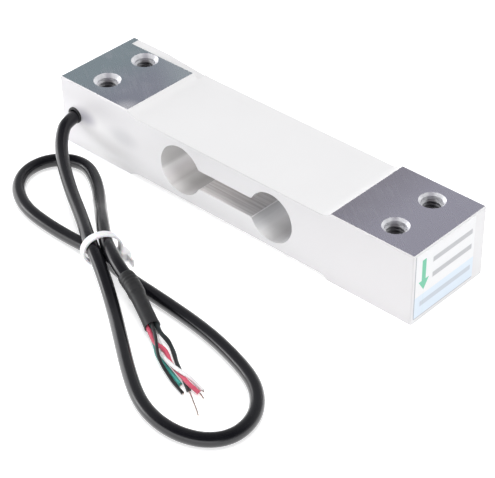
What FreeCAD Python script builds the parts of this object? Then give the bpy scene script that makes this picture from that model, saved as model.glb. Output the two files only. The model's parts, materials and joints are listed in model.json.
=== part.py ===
"""Single point load cell: a machined aluminium beam with a double-bore opening,
bonded strain gauges under flush covers, and a four-core screened cable with stripped ends.

Frame: origin on the floor under the middle of the beam, +X along the beam to the loaded end,
the cable leaves the -Y face near the -X end, +Z up. Millimetres.
"""
import FreeCAD, Part
import math
import os

V = FreeCAD.Vector

# ---------------------------------------------------------------- beam
beam_length = 130.0
beam_width = 30.0
beam_height = 22.0
pad_length = 27.5          # full-height mounting pad at each end
relief_depth = 1.6         # the middle is milled this much lower, top and bottom
runout_radius = 5.5        # radius that the cutter leaves between pad and relief
edge_break = 0.4           # chamfer round the pads and ends
bore_radius = 7.6          # the two bores of the sensing section
bore_offset = 16.8         # from the middle of the beam to each bore
slot_height = 6.2          # slot that joins the bores
slot_corner = 0.9          # radius where the slot runs into a bore

# dressed strip on the back edge of the cable-end pad, running out into the relief
strip_width = 3.4
strip_depth = 0.12
strip_end_land = 2.3       # full-height land left at the beam's end
strip_flat = 8.7           # length before the strip starts to slope down
strip_corner = 0.8

# ---------------------------------------------------------------- tapped holes
bolt_end_distance = 12.0   # from the beam's end to the row of holes
bolt_pitch = 15.0          # across the beam
thread_radius = 3.0        # M6 major radius: the wall of the hole
sink_radius_fixed = 4.0    # countersink at the cable end
sink_radius_load = 3.7     # countersink at the loaded end

# ---------------------------------------------------------------- gauge pockets
pocket_length = 54.0
pocket_width = 16.0
pocket_depth = 0.75        # below the relieved face, cover recess included
pocket_corner = 3.0
cover_length = 58.0
cover_width = 20.0
cover_thickness = 0.2
cover_corner = 4.0
cover_gap = 0.04
gauge_length = 7.0
gauge_width = 5.0
gauge_thickness = 0.08
terminal_length = 6.0
terminal_width = 9.0
terminal_thickness = 0.2
pad_pitch = 2.1            # between the terminal strip's solder pads
resistor_size = (1.6, 3.2, 0.4)
resistor_place = (9.5, 4.6)
lead_width = 0.5           # flat leads between gauges and terminals
lead_thickness = 0.06
lead_spread = 1.6          # between the two leads of one gauge

# ---------------------------------------------------------------- cable entry
entry_end_distance = 5.5   # from the beam's end to the cable bore
entry_radius = 2.5
entry_floor = 18.0         # depth of the cable bore from the -Y face
bush_proud = 0.4
duct_radius = 1.0          # slanted drilling from the cable bore to each pocket
duct_mouth = 28.5          # from the middle of the beam to its mouth
bundle_radius = 0.5

# ---------------------------------------------------------------- cable
cable_radius = 1.9
jacket_start = 7.0         # how far the cable reaches into the beam
sleeve_wall = 0.45         # shrink sleeve over the jacket
sleeve_cover = 6.5         # length of jacket that the sleeve covers
sleeve_neck_length = 12.0  # beyond the jacket's end
sleeve_neck_radius = 2.12  # outside, where it has shrunk onto the cores
sleeve_neck_bore = 1.86
sleeve_shoulder = 2.0      # length of the taper beyond the jacket's end
core_radius = 0.6
white_core_radius = 0.52
black_core_radius = 0.45
screen_sleeve_radius = 0.68
strand_radius = 0.22
cut_length = 0.5           # conductor showing at a core that is cut off square

# tie round the three strands
tie_centre = V(-12.9, -49.7, 0)
tie_turn = -20.0           # direction of the tie's axis, degrees from +X
tie_width = 2.2
tie_thickness = 0.7
tie_inner = (10.4, 8.4)    # width and height inside
tie_corner = 3.2
tie_shift = 0.5            # the ring sits this much to +Y of its centre line
tie_head = (2.8, 2.8, 3.6)  # across, high and along the cable
tie_head_foot = 0.2        # above the floor
tie_tail = 3.2
tie_tail_slope = 8.0       # degrees down from level

# ---------------------------------------------------------------- label on the loaded end
label_width = 24.6
label_height = 19.8
label_side_margin = 0.7    # from the -Y face
label_foot_margin = 1.7    # from the bottom face
label_thickness = 0.1
label_corner = 0.3

# ---------------------------------------------------------------- worked out from the above
half_length = beam_length / 2
half_width = beam_width / 2
mid_height = beam_height / 2
pad_edge = half_length - pad_length
runout = math.sqrt(2 * runout_radius * relief_depth - relief_depth ** 2)
relief_top = beam_height - relief_depth
bolt_x = half_length - bolt_end_distance
entry_x = -half_length + entry_end_distance
entry = V(entry_x, -half_width, mid_height)
pocket_floor = relief_top - pocket_depth
cover_floor = relief_top - cover_thickness
sleeve_radius = cable_radius + sleeve_wall

# The cable's route: out of the bush, over the small loop, through the tie, round the large
# loop, under the tie, round the small loop and back over itself to its stripped end.
cable_route = [
    V(entry_x, -half_width + jacket_start, mid_height),
    V(entry_x, -half_width - 3.2, mid_height),
    V(-56.8, -23.2, 8.8), V(-50.4, -29.0, 6.8), V(-39.4, -36.2, 5.6), V(-27.1, -43.4, 5.8),
    V(-15.4, -51.0, 7.1), V(-5.3, -56.1, 5.2), V(4.4, -61.7, 1.9), V(15.8, -69.8, 1.9),
    V(25.9, -77.0, 1.9), V(35.0, -82.5, 1.9), V(42.8, -84.9, 1.9), V(50.4, -84.9, 1.9),
    V(56.9, -82.3, 1.9), V(60.7, -77.4, 1.9), V(60.9, -71.1, 1.9), V(58.2, -65.0, 1.9),
    V(52.2, -59.5, 1.9), V(43.3, -56.0, 1.9), V(29.6, -52.8, 1.9), V(11.8, -51.4, 1.9),
    V(-2.0, -51.0, 2.0), V(-13.2, -48.9, 3.0), V(-24.0, -49.0, 2.0), V(-34.4, -48.9, 1.9),
    V(-44.6, -47.8, 1.9), V(-52.3, -44.3, 1.9), V(-56.8, -39.9, 1.9), V(-59.1, -35.0, 1.9),
    V(-59.0, -29.6, 1.9), V(-56.6, -25.3, 1.9), V(-52.4, -22.5, 1.9), V(-47.5, -22.1, 1.9),
    V(-41.8, -24.7, 1.9), V(-36.3, -28.4, 1.9), V(-29.4, -34.2, 2.9), V(-21.1, -41.1, 5.9),
    V(-12.6, -48.0, 6.9), V(-6.6, -51.2, 7.4), V(-1.5, -53.6, 7.15), V(5.8, -55.5, 5.5),
    V(7.75, -56.39, 5.05),
]
jacket_end = cable_route[-1]
sleeve_axis = (jacket_end - cable_route[-2]).normalize()

# Where each core lies beyond the sleeve's mouth, and its place in the bundle inside the
# sleeve as (sideways, up) from the sleeve's axis.
core_routes = {
    "red_core": ((-1.2, -0.12), core_radius, [
        V(22.16, -64.71, 2.18), V(24.12, -65.29, 2.27), V(25.96, -65.11, 2.29),
        V(28.04, -65.63, 1.66), V(30.35, -67.11, 1.26), V(33.38, -68.52, 1.67),
        V(36.63, -69.75, 1.96), V(39.48, -70.53, 2.23), V(41.51, -70.48, 1.85),
        V(43.14, -69.97, 0.7)]),
    "white_core": ((0.85, -0.93), white_core_radius, [
        V(21.35, -62.54, 0.95), V(23.46, -64.05, 0.82), V(26.03, -66.06, 1.21),
        V(29.03, -67.54, 2.01), V(32.04, -68.65, 2.91), V(34.76, -69.31, 3.25),
        V(37.12, -69.34, 3.22), V(38.96, -69.02, 2.46), V(40.72, -68.64, 1.48),
        V(43.08, -68.63, 0.54)]),
    "green_core": ((-0.35, -1.16), core_radius, [
        V(20.33, -63.3, 1.04), V(22.54, -64.9, 0.69), V(25.62, -67.05, 0.61),
        V(28.71, -67.95, 0.66), V(31.62, -68.75, 0.64), V(34.58, -69.8, 0.62),
        V(37.63, -70.84, 0.64)]),
    "black_core": ((-0.25, 1.2), black_core_radius, [
        V(23.1, -64.68, 3.45), V(25.62, -66.48, 3.25), V(27.57, -67.92, 2.51),
        V(29.88, -69.09, 1.61), V(32.7, -70.29, 0.92), V(36.24, -71.65, 0.73),
        V(40.24, -72.65, 0.6)]),
    "screen_sleeve": ((1.03, 0.5), screen_sleeve_radius, [
        V(21.6, -61.54, 2.39), V(24.01, -61.6, 1.6), V(26.2, -62.41, 1.13),
        V(28.56, -63.78, 0.75), V(30.88, -65.39, 0.7), V(33.49, -67.07, 0.78),
        V(36.87, -68.87, 0.74), V(40.64, -70.96, 0.7)]),
}
bare_tip = V(45.3, -70.5, 0.3)
drain_tail = [V(44.6, -73.2, 0.24), V(46.6, -74.4, 0.24), V(48.4, -75.7, 0.24)]


# ================================================================ helpers
def save(name, shape):
    """Write one node's solids to parts/NAME.step."""
    solid = shape.removeSplitter()
    if not solid.isValid():
        raise ValueError(name + " is not a valid solid")
    solid.exportStep(os.path.join("parts", name + ".step"))
    print("%-22s %2d solid(s) %10.2f mm3" % (name, len(solid.Solids), solid.Volume))


def plate(length, width, thickness, corner, low):
    """Flat plate with rounded corners, centred on the Z axis, with its underside at low."""
    box = Part.makeBox(length, width, thickness, V(-length / 2, -width / 2, low))
    upright = [e for e in box.Edges if abs(e.tangentAt(e.FirstParameter).z) > 0.99]
    return box.makeFillet(corner, upright)


def mirrored(shape):
    """The same shape on the beam's underside."""
    return shape.mirror(V(0, 0, mid_height), V(0, 0, 1))


def corner_arc(before, point, after):
    """Tangent points, middle and radius of the arc that rounds one corner of a route."""
    back = before - point
    ahead = after - point
    reach = 0.45 * min(back.Length, ahead.Length)
    back.normalize()
    ahead.normalize()
    half_turn = (math.pi - back.getAngle(ahead)) / 2
    radius = reach / math.tan(half_turn)
    bisector = (back + ahead).normalize()
    inset = radius / math.cos(half_turn) - radius
    return point + back * reach, point + bisector * inset, point + ahead * reach, radius


def rounded_wire(points):
    """Straight runs joined by tangent arcs, as one wire, with the radii of the arcs."""
    edges = []
    radii = []
    last = points[0]
    for before, point, after in zip(points, points[1:], points[2:]):
        start, middle, end, radius = corner_arc(before, point, after)
        edges.append(Part.LineSegment(last, start).toShape())
        edges.append(Part.Arc(start, middle, end).toShape())
        radii.append(radius)
        last = end
    edges.append(Part.LineSegment(last, points[-1]).toShape())
    return Part.Wire(edges), radii


def sweep_round(path, radius):
    """Round solid swept along a wire of lines and tangent arcs."""
    first = path.Edges[0]
    start = first.valueAt(first.FirstParameter)
    ahead = first.tangentAt(first.FirstParameter)
    ring = Part.Wire(Part.Circle(start, ahead, radius).toShape())
    return path.makePipeShell([ring], True, True)


def tube(name, points, radius):
    """A cord's solid along its route, with its shortest radius and its volume checked."""
    path, radii = rounded_wire(points)
    solid = sweep_round(path, radius)
    wanted = math.pi * radius ** 2 * path.Length
    print("%-14s length %6.1f  volume %.4f of section x length  radii %s" % (
        name, path.Length, solid.Volume / wanted, " ".join("%.0f" % r for r in radii)))
    return solid


def turned(profile, origin, axis):
    """Revolve a closed (distance, radius) outline round an axis through origin."""
    face = Part.Face(Part.makePolygon([V(r, 0, d) for d, r in profile + profile[:1]]))
    solid = face.revolve(V(0, 0, 0), V(0, 0, 1), 360)
    solid.Placement = FreeCAD.Placement(origin, FreeCAD.Rotation(V(0, 0, 1), axis))
    return solid


# ================================================================ beam
def side_outline():
    """Beam seen from the side: pads at the ends, relieved middle with cutter run-outs."""
    sink = math.acos((runout_radius - relief_depth) / runout_radius) / 2

    def run_out(x_sign, z_face, z_sign):
        # from the relieved face out to the pad's edge
        centre = V(x_sign * (pad_edge - runout), 0, z_face + z_sign * runout_radius)
        middle = centre + V(x_sign * runout_radius * math.sin(sink), 0,
                            -z_sign * runout_radius * math.cos(sink))
        start = centre - V(0, 0, z_sign * runout_radius)
        end = V(x_sign * pad_edge, 0, z_face + z_sign * relief_depth)
        return start, middle, end

    top_right = run_out(1, relief_top, 1)
    top_left = run_out(-1, relief_top, 1)
    low_right = run_out(1, relief_depth, -1)
    low_left = run_out(-1, relief_depth, -1)

    def line(a, b):
        return Part.LineSegment(a, b).toShape()

    def arc(points):
        return Part.Arc(*points).toShape()

    edges = [
        line(V(-half_length, 0, 0), low_left[2]), arc(low_left[::-1]),
        line(low_left[0], low_right[0]), arc(low_right),
        line(low_right[2], V(half_length, 0, 0)),
        line(V(half_length, 0, 0), V(half_length, 0, beam_height)),
        line(V(half_length, 0, beam_height), top_right[2]), arc(top_right[::-1]),
        line(top_right[0], top_left[0]), arc(top_left),
        line(top_left[2], V(-half_length, 0, beam_height)),
        line(V(-half_length, 0, beam_height), V(-half_length, 0, 0)),
    ]
    return Part.Face(Part.Wire(edges))


def sensing_opening():
    """Two bores joined by a slot, with the corners between them rounded."""
    depth = beam_width + 2
    start = -half_width - 1
    opening = Part.makeBox(2 * bore_offset, depth, slot_height,
                           V(-bore_offset, start, mid_height - slot_height / 2))
    for side in (-1, 1):
        opening = opening.fuse(Part.makeCylinder(
            bore_radius, depth, V(side * bore_offset, start, mid_height), V(0, 1, 0)))
    opening = opening.removeSplitter()
    meeting = bore_offset - math.sqrt(bore_radius ** 2 - (slot_height / 2) ** 2)
    corners = []
    for edge in opening.Edges:
        middle = edge.CenterOfMass
        along = abs(edge.tangentAt(edge.FirstParameter).y) > 0.99
        if along and abs(abs(middle.x) - meeting) < 0.1:
            corners.append(edge)
    return opening.makeFillet(slot_corner, corners)


def tapped_hole(x, y, sink_radius):
    """Through hole at thread size, countersunk at both ends."""
    hole = Part.makeCylinder(thread_radius, beam_height + 2, V(x, y, -1))
    sink = sink_radius - thread_radius
    top = Part.makeCone(thread_radius, sink_radius + 1, sink + 1, V(x, y, beam_height - sink))
    low = Part.makeCone(sink_radius + 1, thread_radius, sink + 1, V(x, y, -1))
    return hole.fuse([top, low])


def dressed_strip():
    """Shallow skim along the back edge of the cable-end pad, sloping into the relief."""
    start = -half_length + strip_end_land
    front = half_width - strip_width
    over = 2.0
    skim = beam_height - strip_depth
    end = -pad_edge + over
    slope_start = start + strip_flat
    slope = (skim - relief_top) / (-pad_edge - slope_start)
    outline = Part.makePolygon([
        V(start, front, skim), V(slope_start, front, skim),
        V(end, front, skim - slope * (end - slope_start)),
        V(end, front, beam_height + over), V(start, front, beam_height + over),
        V(start, front, skim)])
    solid = Part.Face(outline).extrude(V(0, strip_width + over, 0))
    corner = [e for e in solid.Edges
              if abs(e.tangentAt(e.FirstParameter).z) > 0.99
              and abs(e.CenterOfMass.x - start) < 0.01
              and abs(e.CenterOfMass.y - front) < 0.01]
    return solid.makeFillet(strip_corner, corner)


def duct_axis():
    """From the mouth in the upper relieved face down to the cable bore."""
    mouth = V(-duct_mouth, 0, pocket_floor)
    foot = V(entry_x, 0, mid_height)
    return mouth, foot - mouth


def duct():
    mouth, along = duct_axis()
    back = along.normalize() * -8.0
    length = (V(entry_x, 0, mid_height) - mouth).Length + 8.0
    cutter = Part.makeCylinder(duct_radius, length, mouth + back, along)
    below_face = Part.makeBox(beam_length, beam_width, relief_top - cover_thickness,
                              V(-half_length, -half_width, 0))
    return cutter.common(below_face)


def pocket():
    """Gauge pocket with a wider recess for the flush cover."""
    well = plate(pocket_length, pocket_width, pocket_depth + 1, pocket_corner, pocket_floor)
    recess = plate(cover_length + 2 * cover_gap, cover_width + 2 * cover_gap,
                   cover_thickness + 1, cover_corner, cover_floor)
    return well.fuse(recess)


def make_beam():
    beam = side_outline().extrude(V(0, beam_width, 0))
    beam.translate(V(0, -half_width, 0))
    broken = []
    for edge in beam.Edges:
        middle = edge.CenterOfMass
        on_side = abs(abs(middle.y) - half_width) < 0.01
        on_end = abs(abs(middle.x) - half_length) < 0.01
        on_flat = middle.z < 0.01 or middle.z > beam_height - 0.01
        if on_end or (on_side and on_flat):
            broken.append(edge)
    beam = beam.makeChamfer(edge_break, broken)
    cuts = [sensing_opening(), dressed_strip(), pocket(), mirrored(pocket()), duct(),
            mirrored(duct())]
    for side in (-1, 1):
        y = side * bolt_pitch / 2
        cuts.append(tapped_hole(-bolt_x, y, sink_radius_fixed))
        cuts.append(tapped_hole(bolt_x, y, sink_radius_load))
    cuts.append(Part.makeCylinder(entry_radius, entry_floor + 1, entry - V(0, 1, 0),
                                  V(0, 1, 0)))
    for cut in cuts:
        beam = beam.cut(cut)
    return beam


# ================================================================ gauges and their wiring
def gauge(x):
    return plate(gauge_length, gauge_width, gauge_thickness, 0.4, pocket_floor).translated(
        V(x, 0, 0))


def terminal_strip():
    """Small laminate with a row of raised solder pads along each side."""
    board = plate(terminal_length, terminal_width, terminal_thickness, 0.4, pocket_floor)
    pad = Part.makeCylinder(0.45, 0.08)
    for side in (-1, 1):
        for step in range(4):
            place = V(side * (terminal_length / 2 - 0.9), (step - 1.5) * pad_pitch,
                      pocket_floor + terminal_thickness)
            board = board.fuse(pad.translated(place))
    return board


def balance_resistor():
    """Chip with two end caps, beside the terminal strip."""
    length, width, height = resistor_size
    body = Part.makeBox(length - 0.1, width - 0.6, height - 0.06,
                        V(0.05 - length / 2, 0.3 - width / 2, 0))
    for side in (-1, 1):
        body = body.fuse(Part.makeBox(
            length, 0.5, height, V(-length / 2, side * (width / 2 - 0.25) - 0.25, 0)))
    return body.translated(V(*resistor_place, pocket_floor))


def gauge_wiring():
    """Flat leads from each gauge's two tabs to the terminal strip, along the pocket's floor."""
    inner = terminal_length / 2
    outer = bore_offset - gauge_length / 2
    leads = []
    for side in (-1, 1):
        for row in (-1, 1):
            start = min(side * inner, side * outer)
            leads.append(Part.makeBox(outer - inner, lead_width, lead_thickness, V(
                start, row * lead_spread / 2 - lead_width / 2, pocket_floor)))
    return Part.makeCompound(leads)


def lead_bundle():
    """The cores' continuation from the pocket down the slanted drilling to the cable bore."""
    mouth, along = duct_axis()
    along.normalize()
    start = mouth + along * 1.6
    length = (V(entry_x, 0, mid_height) - start).Length
    return Part.makeCylinder(bundle_radius, length - entry_radius, start, along)


def cover():
    return plate(cover_length, cover_width, cover_thickness, cover_corner, cover_floor)


# ================================================================ cable end
def end_sleeve(jacket_path):
    """Shrink sleeve: over the jacket's last stretch, then necked down onto the cores."""
    over_jacket = sweep_round(jacket_path, sleeve_radius).cut(
        sweep_round(jacket_path, cable_radius))
    length = sleeve_neck_length
    neck = turned([
        (0, sleeve_neck_bore), (0, sleeve_radius), (sleeve_shoulder * 0.35, sleeve_radius - 0.04),
        (sleeve_shoulder, sleeve_neck_radius), (length * 0.8, sleeve_neck_radius),
        (length, sleeve_neck_radius + 0.08), (length, sleeve_neck_bore)],
        jacket_end, sleeve_axis)
    return over_jacket.fuse(neck)


def sleeved_stretch():
    """Path of the sleeve over the jacket, on the same line and arc as the cable."""
    before, point, after = cable_route[-3:]
    start, middle, end, radius = corner_arc(before, point, after)
    arc = Part.Arc(start, middle, end).toShape()
    straight = sleeve_cover - arc.Length - (jacket_end - end).Length
    back = (before - point).normalize()
    return Part.Wire([Part.LineSegment(start + back * straight, start).toShape(), arc,
                      Part.LineSegment(end, jacket_end).toShape()])


def bundle_point(distance, place):
    """Point inside the sleeve, this far along its axis and at a place in the bundle."""
    side = V(-sleeve_axis.y, sleeve_axis.x, 0).normalize()
    up = sleeve_axis.cross(side)
    return jacket_end + sleeve_axis * distance + side * place[0] + up * place[1]


def core_points(place, beyond):
    """Whole route of a core: close together at the jacket, spread at the sleeve's mouth."""
    gathered = (place[0] * 0.95, place[1] * 0.97)
    inside = [bundle_point(0.05, gathered), bundle_point(sleeve_neck_length * 0.52, place),
              bundle_point(sleeve_neck_length * 1.05, place)]
    return inside + beyond


def bare_end(points, length):
    """Bared conductor past the end of a core."""
    along = (points[-1] - points[-2]).normalize()
    return Part.makeCylinder(strand_radius, length, points[-1], along)


def cable_tie():
    """Narrow strap closed round the strands, with its head and cut tail."""
    wide = tie_inner[0] + 2 * tie_thickness
    high = tie_inner[1] + 2 * tie_thickness
    start = -tie_width / 2
    ring = plate(wide, high, tie_width, tie_corner + tie_thickness, start)
    inside = plate(tie_inner[0], tie_inner[1], 3 * tie_head[2], tie_corner, -1.5 * tie_head[2])
    middle = V(tie_shift, high / 2, 0)
    edge = tie_shift + tie_inner[0] / 2
    head = Part.makeBox(*tie_head, V(edge - 0.6, tie_head_foot, start))
    head = head.makeFillet(0.45, head.Edges)
    # the tail leaves the head along the cable and slopes down towards the floor
    tail = Part.makeBox(tie_thickness, tie_width, tie_tail + 1, V(0, -tie_width / 2, -1))
    tail.rotate(V(0, 0, 0), V(1, 0, 0), tie_tail_slope)
    tail.translate(V(edge + tie_head[0] - 1.9, tie_head_foot + tie_head[1] / 2, start + tie_head[2]))
    solid = ring.translated(middle).fuse([head, tail]).cut(inside.translated(middle))
    # stand it up: its width runs along the cable and its height along +Z
    upright = FreeCAD.Rotation(V(0, 1, 0), V(0, 0, 1), V(1, 0, 0), "ZXY")
    turn = FreeCAD.Rotation(V(0, 0, 1), tie_turn)
    solid.Placement = FreeCAD.Placement(tie_centre, turn * upright)
    return solid


# ================================================================ build
def main():
    os.makedirs("parts", exist_ok=True)
    save("load_cell_body", make_beam())

    gauges = {"left": gauge(-bore_offset), "right": gauge(bore_offset)}
    strip = terminal_strip()
    resistor = balance_resistor()
    wiring = gauge_wiring()
    bundle = lead_bundle()
    well = plate(pocket_length, pocket_width, pocket_depth - cover_thickness, pocket_corner,
                 pocket_floor)
    plain_fill = well
    for piece in list(gauges.values()) + [strip] + wiring.Solids:
        plain_fill = plain_fill.cut(piece)
    for side, shape in gauges.items():
        save("gauge_top_" + side, shape)
        save("gauge_bottom_" + side, mirrored(shape))
    save("terminals_top", strip)
    save("terminals_bottom", mirrored(strip))
    save("balance_resistor", resistor)
    save("gauge_leads_top", wiring)
    save("gauge_leads_bottom", mirrored(wiring))
    save("core_bundle_top", bundle)
    save("core_bundle_bottom", mirrored(bundle))
    save("sealant_top", plain_fill.cut(resistor))
    save("sealant_bottom", mirrored(plain_fill))
    save("cover_top", cover())
    save("cover_bottom", mirrored(cover()))

    bush = Part.makeCylinder(entry_radius, jacket_start + bush_proud,
                             entry - V(0, bush_proud, 0), V(0, 1, 0))
    bush = bush.cut(Part.makeCylinder(cable_radius, jacket_start + 2 * bush_proud,
                                      entry - V(0, bush_proud, 0), V(0, 1, 0)))
    save("cable_bush", bush)
    potting = Part.makeCylinder(entry_radius, entry_floor - jacket_start,
                                entry + V(0, jacket_start, 0), V(0, 1, 0))
    save("bore_potting", potting)

    save("cable_jacket", tube("cable_jacket", cable_route, cable_radius))
    save("end_sleeve", end_sleeve(sleeved_stretch()))
    bare = []
    for name, (place, radius, beyond) in core_routes.items():
        points = core_points(place, beyond)
        save(name, tube(name, points, radius))
        if name == "red_core":
            along = (points[-1] - points[-2]).normalize()
            tip_route = [points[-1], points[-1] + along * 0.6, bare_tip]
            bare.append(tube("bared tip", tip_route, strand_radius))
        elif name != "screen_sleeve":
            bare.append(bare_end(points, cut_length))
    save("bare_ends", Part.makeCompound(bare))
    screen_end = core_routes["screen_sleeve"][2][-1]
    screen_along = (screen_end - core_routes["screen_sleeve"][2][-2]).normalize()
    drain_start = [screen_end + screen_along * 0.02, screen_end + screen_along * 1.6]
    save("drain_wire", tube("drain_wire", drain_start + drain_tail, strand_radius))
    save("cable_tie", cable_tie())

    label = plate(label_height, label_width, label_thickness, label_corner, 0)
    label.Placement = FreeCAD.Placement(
        V(half_length, -half_width + label_side_margin + label_width / 2,
          label_foot_margin + label_height / 2),
        FreeCAD.Rotation(V(0, 1, 0), 90))
    save("end_label", label)


main()
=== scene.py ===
import json
import math
import bpy
from mathutils import Matrix, Quaternion, Vector, noise

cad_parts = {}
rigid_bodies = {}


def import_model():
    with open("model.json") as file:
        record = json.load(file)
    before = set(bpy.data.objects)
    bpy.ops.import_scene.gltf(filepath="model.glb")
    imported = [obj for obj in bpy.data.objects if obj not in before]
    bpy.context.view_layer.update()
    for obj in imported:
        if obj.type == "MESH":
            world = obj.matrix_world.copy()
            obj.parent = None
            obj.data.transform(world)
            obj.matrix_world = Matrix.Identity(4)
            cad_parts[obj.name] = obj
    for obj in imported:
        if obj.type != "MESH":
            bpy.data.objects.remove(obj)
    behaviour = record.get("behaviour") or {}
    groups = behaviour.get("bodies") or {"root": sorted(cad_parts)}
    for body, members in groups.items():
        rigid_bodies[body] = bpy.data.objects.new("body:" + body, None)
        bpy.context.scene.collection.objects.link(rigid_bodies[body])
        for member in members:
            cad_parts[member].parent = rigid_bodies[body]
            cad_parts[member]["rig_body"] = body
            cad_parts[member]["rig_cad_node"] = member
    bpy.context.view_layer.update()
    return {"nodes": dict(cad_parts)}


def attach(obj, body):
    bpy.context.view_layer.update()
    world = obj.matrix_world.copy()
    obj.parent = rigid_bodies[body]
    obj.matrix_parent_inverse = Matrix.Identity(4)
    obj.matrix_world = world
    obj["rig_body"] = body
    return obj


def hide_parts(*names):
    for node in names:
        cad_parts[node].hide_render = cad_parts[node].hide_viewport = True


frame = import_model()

MM = 0.001
scene = bpy.context.scene
nodes = frame["nodes"]

# ------------------------------------------------------------ sizes, in millimetres
BEAM_LENGTH, BEAM_WIDTH, BEAM_HEIGHT = 130.0, 30.0, 22.0
PAD_EDGE = 37.5                  # from the middle to where a pad begins
MID = BEAM_HEIGHT / 2
FRONT, LOADED_END = -BEAM_WIDTH / 2, BEAM_LENGTH / 2
BORE_X, BORE_R, SLOT = 16.8, 7.6, 6.2
BOLT_X, BOLT_Y = 53.0, 7.5
THREAD_R, THREAD_CREST, THREAD_PITCH = 3.0, 2.46, 1.0
SINK = {-1: 4.0, 1: 3.7}         # countersink radius at the cable end and at the loaded end
COVER, COVER_GAP = (58.0, 20.0), 0.04
CABLE_R = 1.9

# the way the camera looks, seen from above: towards -x and +y
SIGHT_X, SIGHT_Y = 0.68, 0.73

# ------------------------------------------------------------ the cable's route
CABLE = [
    (-59.5, -8.0, 11.0), (-59.5, -18.2, 11.0), (-56.8, -23.2, 8.8), (-50.4, -29.0, 6.8),
    (-39.4, -36.2, 5.6), (-27.1, -43.4, 5.8), (-15.4, -51.0, 7.1), (-5.3, -56.1, 5.2),
    (4.4, -61.7, 1.9), (15.8, -69.8, 1.9), (25.9, -77.0, 1.9), (35.0, -82.5, 1.9),
    (42.8, -84.9, 1.9), (50.4, -84.9, 1.9), (56.9, -82.3, 1.9), (60.7, -77.4, 1.9),
    (60.9, -71.1, 1.9), (58.2, -65.0, 1.9), (52.2, -59.5, 1.9), (43.3, -56.0, 1.9),
    (29.6, -52.8, 1.9), (11.8, -51.4, 1.9), (-2.0, -51.0, 2.0), (-13.2, -48.9, 3.0),
    (-24.0, -49.0, 2.0), (-34.4, -48.9, 1.9), (-44.6, -47.8, 1.9), (-52.3, -44.3, 1.9),
    (-56.8, -39.9, 1.9), (-59.1, -35.0, 1.9), (-59.0, -29.6, 1.9), (-56.6, -25.3, 1.9),
    (-52.4, -22.5, 1.9), (-47.5, -22.1, 1.9), (-41.8, -24.7, 1.9), (-36.3, -28.4, 1.9),
    (-29.4, -34.2, 2.9), (-21.1, -41.1, 5.9), (-12.6, -48.0, 6.9), (-6.6, -51.2, 7.4),
    (-1.5, -53.6, 7.15), (5.8, -55.5, 5.5), (7.75, -56.39, 5.05),
]
JACKET_END = Vector(CABLE[-1])
SLEEVE_AXIS = (JACKET_END - Vector(CABLE[-2])).normalized()
SLEEVE_R, SLEEVE_COVER, SLEEVE_NECK = 2.34, 6.5, 12.0

# each core: its place in the bundle inside the sleeve, its radius, its route past the mouth
CORES = {
    "red_core": ((-1.2, -0.12), 0.6, [
        (22.16, -64.71, 2.18), (24.12, -65.29, 2.27), (25.96, -65.11, 2.29),
        (28.04, -65.63, 1.86), (30.35, -67.11, 1.32), (33.55, -68.36, 1.67),
        (36.9, -69.5, 2.0), (39.75, -70.3, 2.15), (41.51, -70.48, 1.85),
        (43.14, -69.97, 0.7)]),
    "white_core": ((0.85, -0.93), 0.52, [
        (21.35, -62.54, 0.95), (23.9, -63.6, 0.78), (26.3, -65.75, 0.96),
        (29.03, -67.54, 2.01), (32.04, -68.65, 2.91), (34.76, -69.31, 3.25),
        (37.12, -69.34, 3.22), (38.96, -68.95, 2.62), (40.72, -68.64, 1.48),
        (43.08, -68.63, 0.54)]),
    "green_core": ((-0.35, -1.16), 0.6, [
        (20.33, -63.3, 1.04), (22.8, -64.65, 0.66), (25.75, -66.95, 0.61),
        (28.71, -67.95, 0.66), (31.62, -68.75, 0.64), (34.58, -69.8, 0.62),
        (37.63, -70.84, 0.64)]),
    "black_core": ((-0.25, 1.2), 0.45, [
        (23.1, -64.68, 3.45), (25.4, -66.68, 3.25), (27.3, -68.14, 2.51),
        (29.68, -69.27, 1.61), (32.7, -70.29, 0.92), (36.24, -71.65, 0.73),
        (40.24, -72.65, 0.6)]),
    "screen_sleeve": ((1.03, 0.5), 0.68, [
        (21.6, -61.54, 2.39), (24.01, -61.6, 1.6), (26.2, -62.41, 1.13),
        (28.56, -63.78, 0.75), (30.88, -65.39, 0.7), (33.49, -67.07, 0.78),
        (36.87, -68.87, 0.74), (40.64, -70.96, 0.7)]),
}

TIE_CENTRE = Vector((-12.9, -49.7, 0.0))
TIE_TURN = math.radians(-20.0)   # round the upright axis
TIE_LEAN = math.radians(-20.0)   # of the oval, in the ring's own plane
TIE_INNER = (10.4, 8.4)
TIE_SHIFT, TIE_RISE = 0.5, 5.05  # the oval's middle, from TIE_CENTRE
TIE_WIDTH, TIE_THICK = 2.2, 0.7


# ============================================================ modelling helpers
def only(obj):
    """Select one object and nothing else."""
    bpy.ops.object.select_all(action="DESELECT")
    obj.select_set(True)
    bpy.context.view_layer.objects.active = obj


def started(name):
    """Name the primitive that was just added."""
    obj = bpy.context.object
    obj.name = name
    obj.data.name = name
    return obj


def modified(obj, kind, **settings):
    """Add one modifier and apply it."""
    only(obj)
    mod = obj.modifiers.new(kind.title(), kind)
    for key, value in settings.items():
        setattr(mod, key, value)
    bpy.ops.object.modifier_apply(modifier=mod.name)


def settle(obj):
    """Put the object's place into its mesh, so that it sits at the origin."""
    only(obj)
    bpy.ops.object.transform_apply(location=True, rotation=True, scale=True)


def smooth(obj, angle):
    """Smooth shading, apart from edges sharper than the angle in degrees."""
    only(obj)
    bpy.ops.object.shade_smooth_by_angle(angle=math.radians(angle))


def outward(obj):
    """Merge doubles and turn every face outwards."""
    only(obj)
    bpy.ops.object.mode_set(mode="EDIT")
    bpy.ops.mesh.select_all(action="SELECT")
    bpy.ops.mesh.remove_doubles(threshold=1e-7)
    bpy.ops.mesh.normals_make_consistent(inside=False)
    bpy.ops.object.mode_set(mode="OBJECT")


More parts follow.
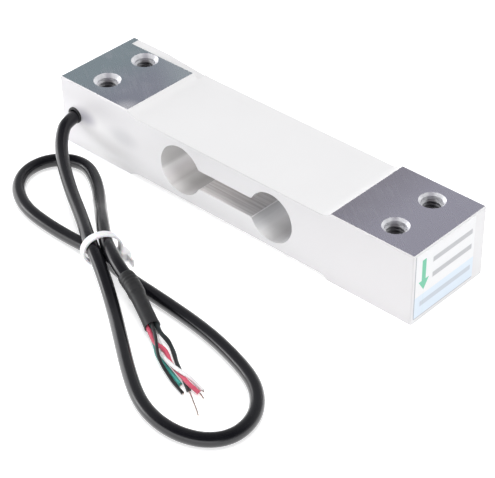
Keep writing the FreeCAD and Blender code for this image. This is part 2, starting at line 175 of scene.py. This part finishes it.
def joined(name, objs):
    """Join several meshes into one."""
    bpy.ops.object.select_all(action="DESELECT")
    for obj in objs:
        obj.select_set(True)
    bpy.context.view_layer.objects.active = objs[0]
    bpy.ops.object.join()
    return started(name)


def painted(obj, material):
    """Give the object one material."""
    obj.data.materials.clear()
    obj.data.materials.append(material)


def dressed(obj, slot, material, *replaced):
    """Ride on the part's one body, take the given material, stand for CAD nodes; slot is not used.
    """
    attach(obj, "root")
    if replaced:
        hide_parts(*replaced)
    painted(obj, material)
    return obj


def cord_curve(name, points, radius, sides=6):
    """Round cord on one smooth line; the points carry its radius."""
    curve = bpy.data.curves.new(name, "CURVE")
    curve.dimensions = "3D"
    curve.resolution_u = 10
    curve.bevel_depth = 1.0
    curve.bevel_resolution = sides
    curve.use_fill_caps = True
    spline = curve.splines.new("NURBS")
    spline.points.add(len(points) - 1)
    for point, place in zip(spline.points, points):
        point.co = (*(Vector(place) * MM), 1.0)
        point.radius = radius * MM
    spline.order_u = 3
    spline.use_endpoint_u = True
    obj = bpy.data.objects.new(name, curve)
    scene.collection.objects.link(obj)
    return obj


def bundle_point(distance, place):
    """A point inside the sleeve, in millimetres."""
    side = Vector((-SLEEVE_AXIS.y, SLEEVE_AXIS.x, 0)).normalized()
    up = SLEEVE_AXIS.cross(side)
    return JACKET_END + SLEEVE_AXIS * distance + side * place[0] + up * place[1]


def core_points(place, beyond):
    """A core's points in millimetres: through the sleeve, then on beyond its mouth."""
    gathered = (place[0] * 0.95, place[1] * 0.97)
    return [bundle_point(0.05, gathered), bundle_point(SLEEVE_NECK * 0.52, place),
            bundle_point(SLEEVE_NECK * 1.05, place)] + [Vector(p) for p in beyond]


# ============================================================ shader helpers
class Term:
    """A shader value that Python arithmetic can be written with."""

    def __init__(self, shade, socket):
        self.shade, self.socket = shade, socket

    def _maths(self, operation, first, second=None):
        return self.shade.add("ShaderNodeMath", {"operation": operation},
                              {0: first, 1: second} if second is not None else {0: first})

    def __add__(self, other): return self._maths("ADD", self, other)
    def __radd__(self, other): return self._maths("ADD", other, self)
    def __sub__(self, other): return self._maths("SUBTRACT", self, other)
    def __rsub__(self, other): return self._maths("SUBTRACT", other, self)
    def __mul__(self, other): return self._maths("MULTIPLY", self, other)
    def __rmul__(self, other): return self._maths("MULTIPLY", other, self)
    def __truediv__(self, other): return self._maths("DIVIDE", self, other)
    def __pow__(self, other): return self._maths("POWER", self, other)
    def __abs__(self): return self._maths("ABSOLUTE", self)
    def highest(self, other): return self._maths("MAXIMUM", self, other)
    def root(self): return self._maths("SQRT", self)

    def step(self, start, end):
        """0 below start, 1 above end, eased between them; start may be above end."""
        return self.shade.add("ShaderNodeMapRange", {"interpolation_type": "SMOOTHSTEP"}, {
            "Value": self, "From Min": start, "From Max": end})


class Shade:
    """One material or world, and the only way that its nodes are made."""

    def __init__(self, owner):
        self.owner = owner
        owner.use_nodes = True
        self.tree = owner.node_tree

    def add(self, kind, settings=None, values=None, out=0, node_only=False):
        """Make one node; values are constants or Terms for its inputs."""
        node = self.tree.nodes.new(kind)
        for key, value in (settings or {}).items():
            if key == "stops":
                ramp = node.color_ramp.elements
                while len(ramp) < len(value):
                    ramp.new(0.5)
                for stop, (place, colour) in zip(ramp, value):
                    stop.position = place
                    stop.color = (*colour, 1)
            else:
                setattr(node, key, value)
        for key, value in (values or {}).items():
            if isinstance(value, Term):
                self.tree.links.new(value.socket, node.inputs[key])
            else:
                node.inputs[key].default_value = value
        return node if node_only else Term(self, node.outputs[out])

    def place(self):
        """Object coordinates in millimetres, as x, y, z."""
        spot = self.add("ShaderNodeTexCoord", out="Object")
        parts = self.add("ShaderNodeSeparateXYZ", values={"Vector": spot}, node_only=True)
        return [Term(self, parts.outputs[i]) * 1000 for i in range(3)]

    def noise(self, scale, detail=3, roughness=0.5, stretch=(1, 1, 1), source=None):
        """Noise with about scale blotches per millimetre; stretch draws it out."""
        if source is None:
            source = self.add("ShaderNodeTexCoord", out="Object")
        stretched = self.add("ShaderNodeMapping", {}, {
            "Vector": source, "Scale": [1000 * scale / s for s in stretch]})
        return self.add("ShaderNodeTexNoise", {}, {
            "Vector": stretched, "Scale": 1.0, "Detail": detail, "Roughness": roughness})

    def mix(self, share, first, second):
        """Mix two colours; a colour is a Term or three numbers."""
        def colour(value):
            return value if isinstance(value, Term) else (*value, 1)
        return self.add("ShaderNodeMix", {"data_type": "RGBA"}, {
            0: share, 6: colour(first), 7: colour(second)}, out=2)

    def ramp(self, value, stops):
        """A colour read along the stops."""
        return self.add("ShaderNodeValToRGB", {"stops": stops}, {"Fac": value})

    def bump(self, height, strength, depth_mm):
        return self.add("ShaderNodeBump", {}, {
            "Height": height, "Strength": strength, "Distance": depth_mm * MM}, out="Normal")


def surface(name, **inputs):
    """A Principled material; the values are numbers, colours or Terms from its builder."""
    shade = Shade(bpy.data.materials.new(name))
    shade.shader = shade.tree.nodes["Principled BSDF"]
    finish(shade, **inputs)
    return shade


def finish(shade, **inputs):
    """Set or link the Principled shader's inputs by their names."""
    for key, value in inputs.items():
        socket = shade.shader.inputs[key.replace("_", " ").title().replace("Ior", "IOR")]
        if isinstance(value, Term):
            shade.tree.links.new(value.socket, socket)
        elif isinstance(value, tuple):
            socket.default_value = (*value, 1)
        else:
            socket.default_value = value


# ============================================================ finishes
def span(first, second):
    """Length of the diagonal."""
    return (first ** 2 + second ** 2).root()


def from_nearer(value, middle):
    """Signed distance from the nearer of two places, at middle and at -middle."""
    return value - middle * (value.step(-1, 1) * 2 - 1)


def from_bolt(x, y):
    """Distance from the nearest bolt hole's axis, across and along the line of sight."""
    over, back = from_nearer(x, BOLT_X), from_nearer(y, BOLT_Y)
    return over * SIGHT_Y + back * SIGHT_X, back * SIGHT_Y - over * SIGHT_X


def beam_finish():
    """Satin anodised sides and relief, bare machined pads, bores, slot and countersinks."""
    shade = surface("anodised_and_machined_aluminium")
    x, y, z = shade.place()
    along = abs(x)
    level = abs(z - MID)

    # where the bare metal is
    pad = along.step(PAD_EDGE - 0.2, PAD_EDGE) * level.step(MID - 0.06, MID - 0.02)
    strip = (y.step(11.6, 11.75) * x.step(-37.0, -37.4) * x.step(-62.75, -62.6)
             * z.step(MID, MID + 1))
    pad = pad * (1 - strip)
    bore = span(along - BORE_X, z - MID).step(BORE_R + 0.12, BORE_R + 0.04)
    slot = along.step(BORE_X - 5, BORE_X - 5.4) * level.step(SLOT / 2 + 0.1, SLOT / 2 + 0.04)
    inside = bore.highest(slot) * abs(y).step(-FRONT - 0.02, -FRONT - 0.1)
    hole = span(along - BOLT_X, abs(y) - BOLT_Y)
    sink = (hole.step(SINK[-1] + 0.02, SINK[-1] - 0.02) * x.step(0, -1)
            + hole.step(SINK[1] + 0.02, SINK[1] - 0.02) * x.step(0, 1))
    bare = pad.highest(inside).highest(sink)
    aside, beyond = from_bolt(x, y)
    # the far wall of each countersink, along the line of sight, for painted shade
    far_wall_shade = abs(aside).step(1.5, 0.2) * beyond.step(0, 1)

    # satin sides; the long front side carries painted light and shade in its tone along it, and
    # two patches of painted shade from the cable
    cloud = shade.noise(0.05, detail=2)
    fine = shade.noise(0.5, detail=4, roughness=0.6)
    sides = shade.mix(cloud, (0.845, 0.84, 0.84), (0.875, 0.87, 0.87))
    # painted light and shade: the front side's tone along its length, lightest near the cable end
    front = shade.ramp((x + LOADED_END) / BEAM_LENGTH, [
        (0.00, (0.80, 0.79, 0.81)), (0.06, (0.88, 0.87, 0.88)), (0.12, (0.96, 0.955, 0.955)),
        (0.21, (0.82, 0.815, 0.82)), (0.42, (0.67, 0.665, 0.67)), (0.62, (0.66, 0.655, 0.66)),
        (0.85, (0.65, 0.64, 0.645))])
    # two patches of painted shade on the front: the cable's shadow and reflection beside and right
    # of where it leaves
    for place, size, share, tone in (((-39.5, 12), (8, 4.2), 0.5, (0.55, 0.55, 0.57)),
                                     ((-55, 12.5), (6, 4), 0.9, (0.40, 0.39, 0.46))):
        cable_shade_patch = span((x - place[0]) / size[0], (z - place[1]) / size[1]).step(1.0, 0.1)
        front = shade.mix(cable_shade_patch * share, front, tone)
    # painted shade: the front darker high up towards the cable end's pad
    front = shade.mix(z.step(9, 18) * x.step(-28, -50), front, (0.70, 0.69, 0.70))
    sides = shade.mix(y.step(FRONT + 0.5, FRONT + 0.1), sides, front)
    # painted shade: the loaded end face is a darker copy of the sides
    sides = shade.mix(x.step(LOADED_END - 0.1, LOADED_END - 0.02), sides, (0.78, 0.775, 0.78))

    # pads ground in a slanting lay; their tones along each pad are painted reflection
    spot = shade.add("ShaderNodeMapping", {}, {
        "Vector": shade.add("ShaderNodeTexCoord", out="Object"), "Rotation": (0, 0, 0.6)})
    lay = shade.noise(1.1, detail=5, roughness=0.65, stretch=(12, 1, 1), source=spot)
    blotch = shade.noise(0.16, detail=3)
    # painted reflection: each pad lighter and darker along its length and towards one corner
    left = shade.mix(x.step(-60, -42), (0.44, 0.53, 0.57), (0.47, 0.49, 0.575))
    left = shade.mix(((x + 50) * 0.05 + (y - 2) * 0.07).step(0.2, 1.2), left, (0.60, 0.67, 0.71))
    right = shade.mix(x.step(36, 56), (0.53, 0.505, 0.58), (0.67, 0.65, 0.76))
    pad_colour = shade.mix(x.step(-1, 1), left, right)
    pad_colour = shade.mix((lay - 0.5) * 0.9 + (blotch - 0.5) * 0.7, pad_colour,
                           (0.78, 0.79, 0.86))
    # painted highlight at the front inner corner of the cable end's pad
    corner = span(x + PAD_EDGE, y - FRONT).step(6.5, 1.5)
    pad_colour = shade.mix(corner, pad_colour, (0.88, 0.88, 0.93))

    # bored walls: painted light, shade and reflection in bands round the axis, over a fine grain
    # along it, the east bore painted darker; turn runs 0 to 360 degrees from +x
    turn = shade.add("ShaderNodeMath", {"operation": "ARCTAN2"},
                     {0: MID - z, 1: -1 * from_nearer(x, BORE_X)})
    grain = shade.noise(1.2, detail=4, roughness=0.6, stretch=(1, 40, 1))
    grained_turn = turn * 57.3 + 180 + (grain - 0.5) * 9
    in_view = (grained_turn - 133) / 160
    west = shade.ramp(in_view, [
        (0.00, (0.74, 0.74, 0.73)), (0.38, (0.73, 0.72, 0.715)), (0.43, (0.98, 0.97, 0.965)),
        (0.52, (1.00, 0.97, 0.975)), (0.58, (1.00, 0.97, 0.965)), (0.62, (0.98, 0.955, 0.95)),
        (0.66, (0.88, 0.855, 0.845)), (0.71, (1.00, 0.985, 0.975)), (0.78, (0.90, 0.885, 0.875)),
        (0.86, (0.74, 0.725, 0.72))])
    east = shade.ramp(in_view, [
        (0.00, (0.60, 0.60, 0.61)), (0.46, (0.57, 0.57, 0.575)), (0.53, (0.70, 0.70, 0.71)),
        (0.59, (0.86, 0.86, 0.865)), (0.66, (1.00, 0.995, 0.995)), (0.73, (0.98, 0.97, 0.965)),
        (0.80, (0.89, 0.88, 0.875)), (0.87, (0.78, 0.77, 0.77)),
        (1.00, (0.78, 0.775, 0.78))])
    bored = shade.mix(x.step(-1, 1), west, east)

    # slot milled along the beam, with painted light: bright towards the west end, darker towards
    # the east
    mill = shade.noise(1.5, detail=4, roughness=0.65, stretch=(40, 1, 1))
    ridge = shade.mix(x.step(-10, 10), (1.00, 0.98, 0.97), (0.72, 0.71, 0.715))
    groove = shade.mix(x.step(-10, 10), (0.74, 0.70, 0.69), (0.50, 0.49, 0.495))
    milled = shade.mix((mill - 0.5) * 3 + 0.55, groove, ridge)
    inner = shade.mix(slot * (1 - bore), bored, milled)

    colour = shade.mix(pad, sides, pad_colour)
    colour = shade.mix(inside, colour, inner)
    colour = shade.mix(sink, colour, (0.93, 0.93, 0.96))
    # painted shade down the far wall of each countersink, along the line of sight
    colour = shade.mix(sink * far_wall_shade, colour, (0.60, 0.59, 0.64))
    satin = shade.noise(3.0, detail=3)
    rough = 0.44 + (fine - 0.5) * 0.06
    rough = rough * (1 - bare) + bare * (0.27 + (lay - 0.5) * 0.10 * pad)
    height = satin * 0.4 * (1 - bare) + lay * pad
    metallic = 0.06 + bare * 0.94 - inside * 0.9 - sink * 0.6
    finish(shade, base_color=colour, roughness=rough, metallic=metallic,
           normal=shade.bump(height, 0.2, 0.01))
    return shade.owner


def cable_finish():
    """Black satin polyurethane with a faint drawn grain."""
    shade = surface("satin_black_jacket", specular_ior_level=0.5)
    grain = shade.noise(2.5, detail=4)
    patch = shade.noise(0.25, detail=2)
    finish(shade, base_color=shade.mix(patch, (0.004, 0.004, 0.006), (0.007, 0.007, 0.009)),
           roughness=0.23 + (patch - 0.5) * 0.1, normal=shade.bump(grain, 0.1, 0.01))
    return shade.owner


def sleeve_finish():
    """Matt black shrink tubing."""
    shade = surface("shrunk_sleeve", specular_ior_level=0.4)
    grain = shade.noise(3.0, detail=5, roughness=0.7)
    patch = shade.noise(0.5, detail=2)
    finish(shade, base_color=shade.mix(patch, (0.014, 0.014, 0.015), (0.030, 0.030, 0.031)),
           roughness=0.50 + (patch - 0.5) * 0.2, normal=shade.bump(grain, 0.4, 0.03))
    return shade.owner


def insulation(name, dark, light, rough=0.35):
    """Smooth plastic or resin, between two tones."""
    shade = surface(name)
    patch = shade.noise(0.8, detail=3)
    grain = shade.noise(4.0, detail=3)
    finish(shade, base_color=shade.mix(patch, dark, light), roughness=rough + (patch - 0.5) * 0.1,
           normal=shade.bump(grain, 0.1, 0.02))
    return shade.owner


def metal(name, dark, light, rough):
    """Bare metal, between two tones."""
    shade = surface(name, metallic=1.0)
    patch = shade.noise(1.5, detail=4)
    finish(shade, base_color=shade.mix(patch, dark, light), roughness=rough + (patch - 0.5) * 0.15)
    return shade.owner


def thread_finish():
    """Cut flanks with painted shade: dark down the middle, along the line of sight, and bright at
    the sides.
    """
    shade = surface("cut_thread", metallic=0.6)
    x, y, _ = shade.place()
    aside, _ = from_bolt(x, y)
    patch = shade.noise(1.5, detail=4)
    colour = shade.mix(patch, (0.72, 0.72, 0.74), (0.92, 0.92, 0.94))
    # painted shade down the middle of each hole, along the line of sight
    colour = shade.mix(abs(aside).step(2.0, 0.6), colour, (0.24, 0.23, 0.25))
    finish(shade, base_color=colour, roughness=0.32 + (patch - 0.5) * 0.15)
    return shade.owner


def nylon_finish():
    """White nylon that lets a little light in."""
    shade = surface("natural_nylon", subsurface_weight=0.15, subsurface_scale=0.001)
    patch = shade.noise(0.7, detail=3)
    finish(shade, base_color=shade.mix(patch, (0.88, 0.88, 0.90), (0.95, 0.95, 0.96)),
           roughness=0.38 + (patch - 0.5) * 0.1, normal=shade.bump(patch, 0.1, 0.03))
    return shade.owner


def rubber_finish():
    """Dull black rubber."""
    shade = surface("moulded_rubber")
    patch = shade.noise(1.5, detail=4)
    finish(shade, base_color=shade.mix(patch, (0.012, 0.012, 0.013), (0.03, 0.03, 0.03)),
           roughness=0.6 + (patch - 0.5) * 0.2, normal=shade.bump(patch, 0.3, 0.05))
    return shade.owner


def label_finish():
    """White film with a green arrow, a pale blue field, plain ruled bars and a thin edge."""
    shade = surface("printed_film")
    _, y, z = shade.place()
    paper = shade.noise(0.4, detail=3)
    colour = shade.mix(paper, (0.86, 0.865, 0.87), (0.90, 0.905, 0.91))
    field = z.step(8.5, 8.3)
    colour = shade.mix(field, colour, (0.74, 0.83, 0.92))
    for middle, faint, start in ((17.2, 0.66, -7.4), (12.4, 0.66, -7.4), (5.6, 0.42, -12.2)):
        bar = abs(z - middle).step(0.95, 0.6) * y.step(start, start + 0.5) * y.step(9.4, 9.0)
        colour = shade.mix(bar * faint, colour, (0.30, 0.30, 0.33))
    shaft = abs(y + 10.8).step(0.85, 0.75) * z.step(12.0, 12.1) * z.step(19.3, 19.2)
    head = (z - 9.7).highest(0) * 0.66
    head = (head - abs(y + 10.7)).step(-0.05, 0.05) * z.step(12.9, 12.8)
    colour = shade.mix(shaft.highest(head), colour, (0.13, 0.54, 0.34))
    edge = y.step(-14.0, -14.1).highest(z.step(2.0, 1.9))
    colour = shade.mix(edge * 0.75, colour, (0.32, 0.32, 0.36))
    finish(shade, base_color=colour, roughness=0.42 + (paper - 0.5) * 0.08)
    return shade.owner


# ============================================================ stage, light and camera
def build_stage():
    """A pale floor that glows a little, to the camera and in reflections."""
    bpy.ops.object.select_all(action="DESELECT")
    bpy.ops.mesh.primitive_plane_add(size=6.0, location=(0, 0, -0.00005))
    floor = started("studio_floor")
    shade = Shade(bpy.data.materials.new("pale_floor"))
    shade.tree.nodes.clear()
    path = shade.add("ShaderNodeLightPath", node_only=True)
    seen = Term(shade, path.outputs["Is Camera Ray"])
    mirrored = Term(shade, path.outputs["Is Glossy Ray"])
    paint = shade.add("ShaderNodeBsdfDiffuse", {}, {"Color": (0.86, 0.86, 0.865, 1)})
    glow = shade.add("ShaderNodeEmission", {}, {
        "Color": (1, 1, 1, 1), "Strength": seen * 0.58 + mirrored * 1.2})
    both = shade.add("ShaderNodeAddShader", {}, {0: paint, 1: glow})
    shade.add("ShaderNodeOutputMaterial", {}, {"Surface": both}, node_only=True)
    floor.data.materials.append(shade.owner)


def softbox(name, place, size, power, shine=True):
    """A round lamp that faces the origin; shine says whether reflections show it."""
    lamp = bpy.data.lights.new(name, "AREA")
    lamp.shape = "DISK"
    lamp.size = size
    lamp.energy = power
    obj = bpy.data.objects.new(name, lamp)
    scene.collection.objects.link(obj)
    obj.visible_glossy = shine
    obj.location = place
    obj.rotation_mode = "QUATERNION"
    obj.rotation_quaternion = (-Vector(place)).to_track_quat("-Z", "Y")


def build_light():
    """White to the camera; for light and reflections, a room that is darker overhead."""
    world = bpy.data.worlds.new("studio")
    scene.world = world
    shade = Shade(world)
    shade.tree.nodes.clear()
    path = shade.add("ShaderNodeLightPath", node_only=True)
    camera = Term(shade, path.outputs["Is Camera Ray"])
    spot = shade.add("ShaderNodeTexCoord", out="Generated")
    parts = shade.add("ShaderNodeSeparateXYZ", values={"Vector": spot}, node_only=True)
    east, north, height = [Term(shade, parts.outputs[i]) for i in range(3)]
    around = shade.ramp(height, [
        (0.0, (1.0, 1.0, 1.0)), (0.12, (0.90, 0.90, 0.90)), (0.30, (0.60, 0.60, 0.61)),
        (0.50, (0.44, 0.445, 0.46)), (0.68, (0.42, 0.425, 0.44)), (0.85, (0.22, 0.22, 0.23)),
        (1.0, (0.14, 0.14, 0.15))])
    # the room is dark above and behind the camera
    behind = east * SIGHT_X - north * SIGHT_Y
    dim = behind.step(-0.3, 0.1) * height.step(0.22, 0.42)
    around = shade.mix(dim * 0.9, around, (0.05, 0.05, 0.055))
    # a long low light panel stands along the front
    front = east * -0.35 - north * 0.94
    panel = front.step(0.0, 0.35) * (1 - height.step(0.24, 0.44))
    around = shade.mix(panel, around, (2.8, 2.8, 2.84))
    sky = shade.mix(camera, around, (1, 1, 1))
    back = shade.add("ShaderNodeBackground", {}, {"Color": sky, "Strength": 1.0})
    shade.add("ShaderNodeOutputWorld", {}, {"Surface": back}, node_only=True)

    softbox("left_softbox", (-1.1, -0.68, 0.15), 0.5, 2.0)
    softbox("top_softbox", (0.0, -0.1, 1.4), 1.1, 13.5, shine=False)
    softbox("right_softbox", (1.0, -0.15, 0.7), 0.6, 2.8, shine=False)


def build_camera():
    """The camera, above the corner between the front and the loaded end."""
    data = bpy.data.cameras.new("view_camera")
    data.sensor_width = 36.0
    data.lens = 128.77
    data.clip_start, data.clip_end = 0.01, 20
    camera = bpy.data.objects.new("view_camera", data)
    scene.collection.objects.link(camera)
    azimuth, elevation, roll = (math.radians(v) for v in (43.21, 36.47, -0.72))
    back = Vector((math.sin(azimuth) * math.cos(elevation),
                   -math.cos(azimuth) * math.cos(elevation), math.sin(elevation)))
    camera.location = (0.2741, -0.2979, 0.2867)
    camera.rotation_mode = "QUATERNION"
    camera.rotation_quaternion = (-back).to_track_quat("-Z", "Y") @ Quaternion((0, 0, 1), roll)
    scene.camera = camera
    scene.view_settings.view_transform = "Standard"


# ============================================================ the beam
def merged_copy(node, name):
    """The CAD node's own shape with its triangles joined up, for smooth bores."""
    only(nodes[node])
    bpy.ops.object.duplicate()
    copy = started(name)
    copy.parent = None
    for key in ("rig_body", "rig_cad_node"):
        if key in copy:
            del copy[key]
    bpy.ops.mesh.customdata_custom_splitnormals_clear()
    outward(copy)
    smooth(copy, 25)
    return copy


def thread(name, x, y, sink_radius):
    """Helical ridge of a tapped hole, its crest cut back by the countersinks."""
    bpy.ops.object.select_all(action="DESELECT")
    bpy.ops.mesh.primitive_plane_add(size=1.0)
    ridge = started(name)
    root = THREAD_R + 0.02
    profile = [(root, -0.43), (root, 0.43), (THREAD_CREST, 0.11), (THREAD_CREST, -0.11)]
    for vertex, (r, z) in zip([ridge.data.vertices[i] for i in (0, 2, 3, 1)], profile):
        vertex.co = Vector((r, 0, z)) * MM
    only(ridge)
    bpy.ops.object.mode_set(mode="EDIT")
    bpy.ops.mesh.select_all(action="SELECT")
    bpy.ops.mesh.delete(type="ONLY_FACE")
    bpy.ops.object.mode_set(mode="OBJECT")
    turns = 19
    modified(ridge, "SCREW", axis="Z", angle=math.tau, screw_offset=THREAD_PITCH * MM,
             iterations=turns, steps=40, render_steps=40, use_merge_vertices=False)
    start = (BEAM_HEIGHT - turns * THREAD_PITCH) / 2
    for vertex in ridge.data.vertices:
        vertex.co.z += start * MM
        depth = min(vertex.co.z, BEAM_HEIGHT * MM - vertex.co.z)
        cone = sink_radius * MM - depth
        radius = math.hypot(vertex.co.x, vertex.co.y)
        wanted = min(max(radius, cone), root * MM)
        vertex.co.x *= wanted / radius
        vertex.co.y *= wanted / radius
    only(ridge)
    bpy.ops.object.mode_set(mode="EDIT")
    bpy.ops.mesh.select_all(action="DESELECT")
    bpy.ops.mesh.select_non_manifold(extend=False, use_wire=False, use_multi_face=False,
                                     use_non_contiguous=False, use_verts=False)
    bpy.ops.mesh.edge_face_add()
    bpy.ops.object.mode_set(mode="OBJECT")
    ridge.location = (x * MM, y * MM, 0)
    settle(ridge)
    outward(ridge)
    smooth(ridge, 40)
    return ridge


def build_beam():
    """The beam, its cut threads and its covers, which reach the pocket's walls."""
    aluminium = beam_finish()
    beam = merged_copy("load_cell_body", "beam")
    dressed(beam, "beam", aluminium, "load_cell_body")
    ridges = []
    for end in (-1, 1):
        for side in (-1, 1):
            name = "thread_%d_%d" % (end, side)
            ridges.append(thread(name, end * BOLT_X, side * BOLT_Y, SINK[end]))
    threads = joined("tapped_threads", ridges)
    dressed(threads, "beam", thread_finish())
    reach = [(size + 2 * COVER_GAP) / size for size in COVER]
    for node in ("cover_top", "cover_bottom"):
        cover = merged_copy(node, node.replace("cover", "flush_cover"))
        bpy.ops.object.mode_set(mode="EDIT")
        bpy.ops.mesh.select_all(action="SELECT")
        bpy.ops.transform.resize(value=(*reach, 1.0), center_override=(0, 0, 0))
        bpy.ops.object.mode_set(mode="OBJECT")
        dressed(cover, "cover", aluminium, node)


# ============================================================ the cable and what is on it
def spline_line(cord):
    """Points along a cord's own smooth spline, from its start to its end."""
    bare = bpy.data.objects.new("bare_line", cord.data.copy())
    bare.data.bevel_depth = 0
    bare.data.use_fill_caps = False
    scene.collection.objects.link(bare)
    line = bpy.data.meshes.new_from_object(bare)
    points = [vertex.co.copy() for vertex in line.vertices]
    bpy.data.objects.remove(bare)
    return points


def walk(points, spacing):
    """The same line with even spacing, counted back from its end."""
    line, left, out = list(reversed(points)), spacing, [points[-1]]
    for a, b in zip(line, line[1:]):
        run = (b - a).length
        while left <= run:
            out.append(a.lerp(b, left / run))
            left += spacing
        left -= run
    return list(reversed(out))


def eased(value, start, end):
    """0 at start, 1 at end, eased between them."""
    t = min(max((value - start) / (end - start), 0.0), 1.0)
    return t * t * (3 - 2 * t)


def shrunk_sleeve(cable):
    """Shrink sleeve over the jacket's end, drawn down onto the cores, with rings and creases."""
    spacing = 0.2
    over = walk(spline_line(cable), spacing * MM)[-int(SLEEVE_COVER / spacing) - 1:]
    beyond = [JACKET_END * MM + SLEEVE_AXIS * (spacing * (i + 1) * MM)
              for i in range(int(SLEEVE_NECK / spacing))]
    centre = over + beyond
    curve = bpy.data.curves.new("sleeve_line", "CURVE")
    curve.dimensions = "3D"
    curve.bevel_depth = MM
    curve.bevel_resolution = 10
    spline = curve.splines.new("POLY")
    spline.points.add(len(centre) - 1)
    for index, (point, place) in enumerate(zip(spline.points, centre)):
        s = index * spacing - SLEEVE_COVER            # 0 at the jacket's end
        point.co = (*place, 1.0)
        radius = SLEEVE_R - 0.24 * eased(s, 0.0, 2.0) - 0.05 * eased(s, 2.5, 7.0)
        radius += 0.09 * eased(s, 9.5, SLEEVE_NECK) - 0.16 * eased(s, -5.9, -SLEEVE_COVER)
        rings = 0.075 * math.exp(-((s + 3.9) / 1.5) ** 2)
        rings += 0.03 * math.exp(-((s - 0.3) / 0.8) ** 2)
        point.radius = radius + rings * math.sin(s * 5.6)
    skin = bpy.data.objects.new("end_sleeve_skin", curve)
    scene.collection.objects.link(skin)
    only(skin)
    bpy.ops.object.convert(target="MESH")
    skin = started("end_sleeve_skin")
    lowest = min(v.co.z for v in skin.data.vertices)
    for vertex in skin.data.vertices:
        near = min(centre, key=lambda c: (c - vertex.co).length_squared)
        out = (vertex.co - near).normalized()
        crease = noise.noise(vertex.co * 420 + out * 1.3) * 0.05
        crease += noise.noise(vertex.co * 1300) * 0.012
        vertex.co += out * crease * MM
        vertex.co.z = max(vertex.co.z, lowest)
    modified(skin, "SOLIDIFY", thickness=0.25 * MM, offset=-1.0)
    outward(skin)
    smooth(skin, 50)
    return skin


def build_cable():
    """The cable, its end sleeve, the cores and the tie."""
    cable = cord_curve("cable", CABLE, CABLE_R, sides=10)
    dressed(cable, "jacket", cable_finish(), "cable_jacket")
    sleeve = shrunk_sleeve(cable)
    dressed(sleeve, "shrink_sleeve", sleeve_finish(), "end_sleeve")

    finishes = {
        "red_core": insulation("red_insulation", (0.62, 0.06, 0.12), (0.76, 0.15, 0.22)),
        "white_core": insulation("white_insulation", (0.86, 0.86, 0.86), (0.93, 0.93, 0.93)),
        "green_core": insulation("green_insulation", (0.05, 0.36, 0.31), (0.09, 0.48, 0.41)),
        "black_core": insulation("black_insulation", (0.012, 0.013, 0.014), (0.03, 0.03, 0.03)),
        "screen_sleeve": insulation("black_tubing", (0.010, 0.011, 0.012), (0.045, 0.058, 0.060)),
    }
    for name, (place, radius, beyond) in CORES.items():
        points = core_points(place, beyond)
        lead = cord_curve(name + "_lead", points, radius)
        if name == "screen_sleeve":               # drawn in at every second point
            for point in list(lead.data.splines[0].points)[3::2]:
                point.radius *= 0.76
        dressed(lead, name, finishes[name], name)
        legs = sum((b - a).length for a, b in zip(points, points[1:])) * MM
        # the smooth line cuts the corners, so it is a little shorter than its legs
        tuple(points[0] * MM)
    tinned = metal("tinned_copper", (0.50, 0.42, 0.38), (0.72, 0.64, 0.60), 0.35)
    for node in ("bare_ends", "drain_wire"):
        painted(nodes[node], tinned)
    tie = build_tie()


def block(name, size, place, bevel, segments):
    """A box with rounded edges; the sizes are in millimetres."""
    bpy.ops.object.select_all(action="DESELECT")
    bpy.ops.mesh.primitive_cube_add(size=1.0)
    box = started(name)
    box.scale = [v * MM for v in size]
    box.location = [v * MM for v in place]
    settle(box)
    modified(box, "BEVEL", width=bevel * MM, segments=segments, limit_method="ANGLE")
    return box


def build_tie():
    """Nylon strap in a leaning oval, with its head low at the side and a short cut tail.

    It is built lying down, with x to the side and y upwards, and is then stood up."""
    bpy.ops.object.select_all(action="DESELECT")
    bpy.ops.mesh.primitive_cylinder_add(vertices=96, radius=1.0, depth=TIE_WIDTH * MM,
                                        end_fill_type="NOTHING")
    ring = started("tie_ring")
    ring.scale = [*((inner + TIE_THICK) / 2 * MM for inner in TIE_INNER), 1]
    settle(ring)
    modified(ring, "SOLIDIFY", thickness=TIE_THICK * MM, offset=0.0)
    modified(ring, "BEVEL", width=0.14 * MM, segments=3, limit_method="ANGLE")
    ring.location = (TIE_SHIFT * MM, TIE_RISE * MM, 0)
    ring.rotation_euler = (0, 0, TIE_LEAN)
    settle(ring)

    edge = TIE_SHIFT + TIE_INNER[0] / 2
    head = block("tie_head", (2.8, 2.8, 3.6), (edge + 0.8, 1.6, 0.7), 0.5, 3)
    tail = block("tie_tail", (TIE_THICK, TIE_WIDTH, 4.2), (edge + 1.3, 1.45, 3.6), 0.15, 2)
    tie = joined("cable_tie_strap", [ring, head, tail])
    upright = Matrix(((0, 0, 1, 0), (1, 0, 0, 0), (0, 1, 0, 0), (0, 0, 0, 1)))
    place = Matrix.Translation(TIE_CENTRE * MM) @ Matrix.Rotation(TIE_TURN, 4, "Z")
    tie.matrix_world = place @ upright
    settle(tie)
    outward(tie)
    smooth(tie, 35)
    return dressed(tie, "tie", nylon_finish(), "cable_tie")


def build_small_pieces():
    """Finishes for the CAD nodes that stay, by the start of their names."""
    painted(nodes["cable_bush"], rubber_finish())
    painted(nodes["end_label"], label_finish())
    inner = {
        "gauge": metal("etched_foil", (0.50, 0.30, 0.10), (0.66, 0.42, 0.16), 0.35),
        "terminals": insulation("glass_laminate", (0.40, 0.34, 0.14), (0.52, 0.45, 0.22)),
        "balance": insulation("ceramic_chip", (0.02, 0.02, 0.02), (0.05, 0.05, 0.05)),
        "gauge_leads": metal("flat_lead", (0.55, 0.46, 0.36), (0.70, 0.62, 0.54), 0.3),
        "core_bundle": insulation("bundled_cores", (0.10, 0.10, 0.11), (0.20, 0.20, 0.22)),
        "sealant": insulation("clear_silicone", (0.55, 0.56, 0.58), (0.66, 0.67, 0.69), 0.25),
        "bore_potting": insulation("cast_resin", (0.03, 0.03, 0.03), (0.06, 0.06, 0.06), 0.3),
    }
    for start, material in inner.items():
        for name, node in nodes.items():
            if name.startswith(start):
                painted(node, material)


build_stage()
build_light()
build_camera()
build_beam()
build_cable()
build_small_pieces()
